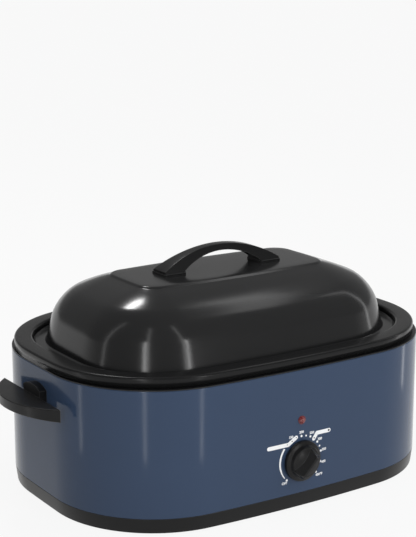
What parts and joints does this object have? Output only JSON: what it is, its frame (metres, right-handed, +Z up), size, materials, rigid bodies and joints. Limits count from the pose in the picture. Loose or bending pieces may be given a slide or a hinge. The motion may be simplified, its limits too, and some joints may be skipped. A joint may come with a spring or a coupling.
{
  "type": "electric roaster oven",
  "caption": "Countertop roaster oven with a painted heated base, lift-out pan, wire rack, domed lift-off lid, temperature knob, side handles and an indicator lamp.",
  "frame": {"origin": "centre of the closed roaster's footprint, side handles, knob and cord inlet included, on the surface it stands on", "axes": "+X to the right along the long side, +Y to the rear, away from the control knob, +Z up"},
  "size_m": [0.644, 0.4222, 0.3172],
  "materials": {
    "blue_paint": "semi-gloss baked paint, slate blue",
    "black_plastic": "satin moulded black",
    "black_rim_steel": "satin black coated steel",
    "well_enamel": "matte black high-temperature coating",
    "pan_enamel": "satin black enamelled steel",
    "lid_enamel": "gloss black enamelled steel",
    "chrome_wire": "bright chromed wire",
    "zinc_steel": "zinc-plated steel",
    "galvanised_sheet": "galvanised sheet",
    "foot_rubber": "matte black rubber",
    "red_lens": "clear red lens",
    "neon_glass": "clear glass bulb",
    "ceramic_white": "unglazed steatite",
    "glass_fibre": "soft needled glass fibre",
    "mica_band": "mica sheet with heating ribbon inside",
    "brass": "turned brass",
    "cutoff_metal": "plain metal can",
    "lead_sleeve": "silicone sleeving over stranded wire"
  },
  "bodies": {
    "base": {"body_wrap": "blue_paint", "base_skirt": "black_plastic", "side_handle_left": "black_plastic", "side_handle_right": "black_plastic", "cord_gland": "black_plastic", "gland_nut": "black_plastic", "top_collar": "black_rim_steel", "heating_well": "well_enamel", "bottom_screws": "zinc_steel", "foot_screws": "zinc_steel", "thermostat_screws": "zinc_steel", "handle_screws": "zinc_steel", "tie_stud": "zinc_steel", "tie_washer": "zinc_steel", "tie_nut": "zinc_steel", "terminal_screws": "zinc_steel", "shield_spacer": "zinc_steel", "cutoff_clip": "zinc_steel", "lens_retainer": "zinc_steel", "bottom_plate": "galvanised_sheet", "heat_shield": "galvanised_sheet", "handle_brackets": "galvanised_sheet", "thermostat_bracket": "galvanised_sheet", "heater_clamps": "galvanised_sheet", "thermostat_sensor": "galvanised_sheet", "rubber_feet": "foot_rubber", "indicator_lens": "red_lens", "indicator_lamp": "neon_glass", "terminal_block": "ceramic_white", "thermostat_body": "ceramic_white", "lamp_resistor": "ceramic_white", "insulation_blanket": "glass_fibre", "heater_band_lower": "mica_band", "heater_band_upper": "mica_band", "thermostat_bushing": "brass", "thermal_cutoff": "cutoff_metal", "internal_wires": "lead_sleeve"},
    "knob": {"control_knob": "black_plastic", "knob_clip": "zinc_steel", "thermostat_spindle": "zinc_steel"},
    "pan": {"roasting_pan": "pan_enamel"},
    "rack": {"rack_frame": "chrome_wire", "rack_long_wires": "chrome_wire", "rack_cross_wires": "chrome_wire", "rack_feet": "chrome_wire", "rack_bail_left": "chrome_wire", "rack_bail_right": "chrome_wire"},
    "lid": {"lid_shell": "lid_enamel", "lid_handle": "black_plastic", "lid_handle_pads": "black_plastic", "lid_handle_screws": "zinc_steel", "lid_handle_washers": "zinc_steel"}
  },
  "joints": [
    {"name": "pan_lift", "type": "slide", "parent": "base", "child": "pan", "axis": [0, 0, 1], "range_m": [0, 0.188]},
    {"name": "rack_lift", "type": "slide", "parent": "pan", "child": "rack", "axis": [0, 0, -1], "range_m": [-0.17, 0]},
    {"name": "lid_lift", "type": "slide", "parent": "rack", "child": "lid", "axis": [0, 0, 1], "range_m": [0, 0.135]},
    {"name": "knob_turn", "type": "hinge", "parent": "base", "child": "knob", "pos_m": [0, -0.1871, 0.067], "axis": [0, -1, 0], "range_deg": [-268, 0]}
  ]
}
